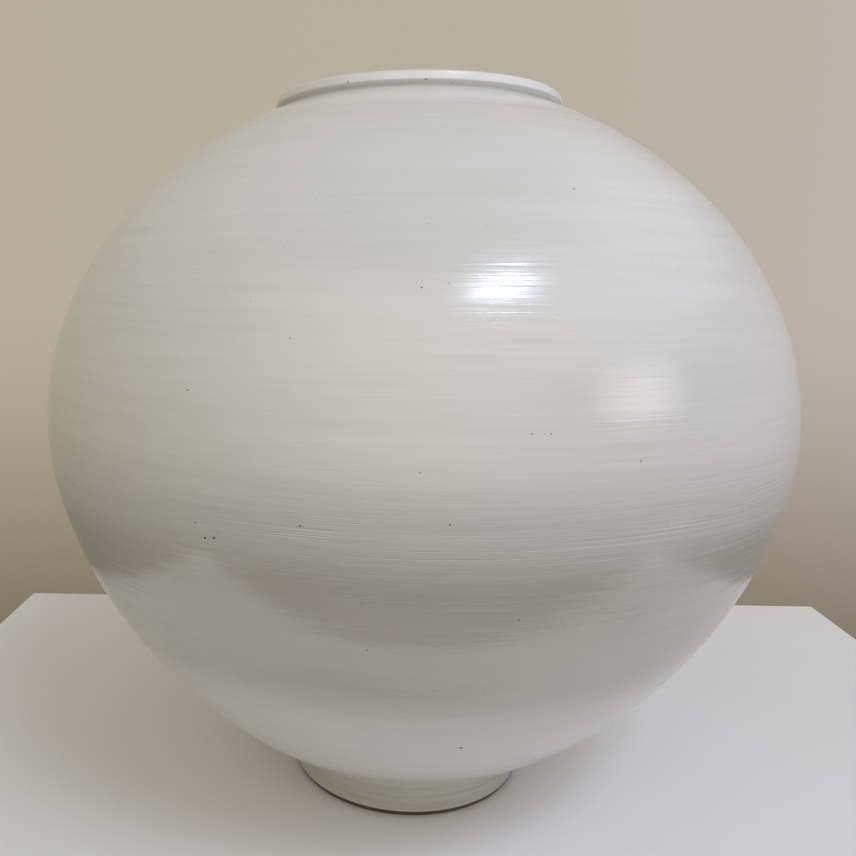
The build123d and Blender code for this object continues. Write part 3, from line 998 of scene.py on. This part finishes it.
def iron_specks():
    """All specks as one piece, each on the glaze where a ray meets it."""
    chance = random.Random(SPECK_SEED)
    vertices = []
    faces = []
    for x, y, radius in SPECKS_SEEN:
        met, place, normal, _ = glazed_outside.ray_cast(CAMERA_PLACE, photo_ray(x, y))
        if met:
            speck(vertices, faces, place, normal, radius, chance)
    for _ in range(SPECKS_ROUND):
        angle = chance.uniform(0, 2 * pi)
        height = chance.uniform(*SPECK_HEIGHTS)
        radius = chance.uniform(*SPECK_SIZES)
        away = Vector((cos(angle), sin(angle), 0.0))
        start = away * SPECK_RAY_START + Vector((0, 0, height))
        met, place, normal, _ = glazed_outside.ray_cast(start, -away)
        if met:
            speck(vertices, faces, place, normal, radius, chance)
    piece = add_mesh("iron_specks", vertices, faces)
    piece.data.shade_smooth()
    return piece


specks_piece = iron_specks()
specks_piece.data.materials.append(iron_spot())
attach(specks_piece, "root")


def floor_sheet():
    """A plain pale sheet with rounded edges, its top at z = 0."""
    x = FLOOR_WIDTH / 2
    y = FLOOR_DEPTH / 2
    corners = [(-x, -y), (x, -y), (x, y), (-x, y)]
    vertices = [(*corner, level) for level in (-FLOOR_SHEET, 0.0) for corner in corners]
    faces = [(3, 2, 1, 0), (4, 5, 6, 7)]
    faces += [(i, (i + 1) % 4, (i + 1) % 4 + 4, i + 4) for i in range(4)]
    sheet = add_mesh("floor", vertices, faces)
    sheet.location = (*FLOOR_MIDDLE, 0.0)
    sheet.rotation_euler = (0.0, 0.0, radians(FLOOR_TURN))
    bevel = sheet.modifiers.new("edges", "BEVEL")
    bevel.width = FLOOR_EDGE
    bevel.segments = FLOOR_EDGE_STEPS
    sheet.data.materials.append(floor_paint())


floor_sheet()

# Lamps: what each points at, its direction as (azimuth from the viewer's side, elevation), and
# its panels as (angles that it spans, strength). Each panel stands a little in front of the one
# before, so that their light adds up.
LAMP_DISTANCE = 1.6
PANEL_STEP = 0.01
KEY_TARGET = Vector((0.06, -0.165, 0.33))
KEY_DIRECTION = (35.0, 52.3)
KEY_COLOUR = (0.86, 0.96, 1.27)
KEY_PANELS = (((28.0, 10.5), 0.9), ((20.0, 7.0), 2.5), ((13.0, 4.5), 6.0))
FILL_SPREAD = (24.0, 18.0)
FILL_LIGHT = 6.35
SIDE_TARGET = Vector((0.125, -0.175, 0.25))
SIDE_DIRECTION = (65.0, 15.0)
SIDE_COLOUR = (1.0, 0.98, 0.97)
SIDE_LIGHT = 0.28
SIDE_SPREADS = ((33.0, 23.0), (26.5, 18.0), (20.0, 13.5), (14.0, 9.5), (8.0, 5.5))
SIDE_PANELS = tuple((spread, SIDE_LIGHT) for spread in SIDE_SPREADS)


def direction(azimuth, elevation):
    """The direction at an azimuth from the viewer's side, and so far above the level."""
    level = cos(radians(elevation))
    x = sin(radians(azimuth)) * level
    y = -cos(radians(azimuth)) * level
    return Vector((x, y, sin(radians(elevation))))


def lamp(name, target, facing, distance, spread, radiance, colour):
    """A soft panel that is seen from the target in the given direction, and so wide and high."""
    away = direction(*facing)
    light = bpy.data.lights.new(name, "AREA")
    light.shape = "ELLIPSE"
    light.size = 2 * distance * tan(radians(spread[0] / 2))
    light.size_y = 2 * distance * tan(radians(spread[1] / 2))
    light.energy = radiance * pi * light.size * light.size_y
    light.color = colour
    panel = bpy.data.objects.new(name, light)
    panel.location = target + away * distance
    panel.rotation_mode = "QUATERNION"
    panel.rotation_quaternion = (-away).to_track_quat("-Z", "Y")
    panel.visible_camera = False
    bpy.context.scene.collection.objects.link(panel)
    return panel


def panel_stack(name, target, facing, panels, colour):
    """Panels from wide to small, which together give a highlight a soft edge."""
    for count, (spread, radiance) in enumerate(panels):
        distance = LAMP_DISTANCE - PANEL_STEP * count
        lamp(f"{name}_{count}", target, facing, distance, spread, radiance, colour)


panel_stack("key_panel", KEY_TARGET, KEY_DIRECTION, KEY_PANELS, KEY_COLOUR)
panel_stack("side_panel", SIDE_TARGET, SIDE_DIRECTION, SIDE_PANELS, SIDE_COLOUR)
fill = lamp("key_fill", KEY_TARGET, KEY_DIRECTION, LAMP_DISTANCE, FILL_SPREAD, FILL_LIGHT, KEY_COLOUR)
fill.visible_glossy = False

# Plain surroundings: the colour that the jar sees on each side, above and below its level
ROOM_LEFT = (0.47, 0.44, 0.27)
ROOM_RIGHT = (0.62, 0.575, 0.60)
ROOM_FRONT = (1.05, 0.99, 0.875)
ROOM_BACK = (0.474, 0.425, 0.345)
LOW_SIDES = (0.045, 0.042, 0.037)
LOW_BACK = (0.20, 0.155, 0.10)
HIGH_LEFT = (0.48, 0.46, 0.41)
HIGH_RIGHT = (0.94, 0.94, 0.98)
HIGH_FRONT = (1.16, 1.09, 0.93)
HIGH_BACK = (0.44, 0.40, 0.30)
ROOM_ABOVE = (0.44, 0.43, 0.39)
ROOM_BELOW = (0.07, 0.065, 0.057)

# Heights on a sphere of radius one between which the surroundings pass from tier to tier
SIDE_LEVELS = (-0.50, 0.0)
HIGH_LEVELS = (0.28, 0.55)
ABOVE_LEVELS = (0.70, 0.95)
BELOW_LEVELS = (-0.75, -0.36)
LEAST_LEVEL = 0.0001


def room_light():
    """Surroundings that pass smoothly from one side's colour to the next."""
    world = bpy.data.worlds.new("surroundings")
    world.use_nodes = True
    nodes = Nodes(world.node_tree)
    parts = nodes.add("ShaderNodeSeparateXYZ")
    nodes.put(parts.inputs[0], nodes.add("ShaderNodeTexCoord").outputs["Generated"])
    x, y, z = parts.outputs
    to_right = nodes.math("GREATER_THAN", x, 0.0)
    to_back = nodes.math("GREATER_THAN", y, 0.0)
    across = nodes.math("MULTIPLY", x, x)
    level = nodes.math("ADD", across, nodes.math("MULTIPLY", y, y))
    sideways = nodes.math("DIVIDE", across, nodes.math("MAXIMUM", level, LEAST_LEVEL))

    def tier(left, right, front, back):
        """The colours of the four sides at one level."""
        return nodes.blend(sideways, nodes.blend(to_back, front, back), nodes.blend(to_right, left, right))

    upper = tier(HIGH_LEFT, HIGH_RIGHT, HIGH_FRONT, HIGH_BACK)
    middle = tier(ROOM_LEFT, ROOM_RIGHT, ROOM_FRONT, ROOM_BACK)
    lower = tier(LOW_SIDES, LOW_SIDES, LOW_SIDES, LOW_BACK)
    sides = nodes.blend(nodes.step(z, *SIDE_LEVELS), lower, middle)
    sides = nodes.blend(nodes.step(z, *HIGH_LEVELS), sides, upper)
    sides = nodes.blend(nodes.step(z, *ABOVE_LEVELS), sides, ROOM_ABOVE)
    sides = nodes.blend(nodes.step(z, *BELOW_LEVELS), ROOM_BELOW, sides)
    nodes.put(world.node_tree.nodes["Background"].inputs[0], sides)
    bpy.context.scene.world = world


room_light()


def photo_camera():
    """The camera, with the lens moved off its middle as the image's framing needs."""
    right, up, forward = camera_axes()
    data = bpy.data.cameras.new("camera")
    data.sensor_width = SENSOR_WIDTH
    data.lens = SENSOR_WIDTH * FOCAL_PIXELS / IMAGE_SIZE
    data.shift_x = (IMAGE_SIZE / 2 - CENTRE_PIXEL[0]) / IMAGE_SIZE
    data.shift_y = (CENTRE_PIXEL[1] - IMAGE_SIZE / 2) / IMAGE_SIZE
    data.clip_start = CAMERA_CLIP
    camera = bpy.data.objects.new("camera", data)
    turned = Matrix((right, up, -forward)).transposed()
    camera.matrix_world = Matrix.Translation(CAMERA_PLACE) @ turned.to_4x4()
    bpy.context.scene.collection.objects.link(camera)
    bpy.context.scene.camera = camera


photo_camera()
bpy.context.scene.view_settings.view_transform = "Standard"
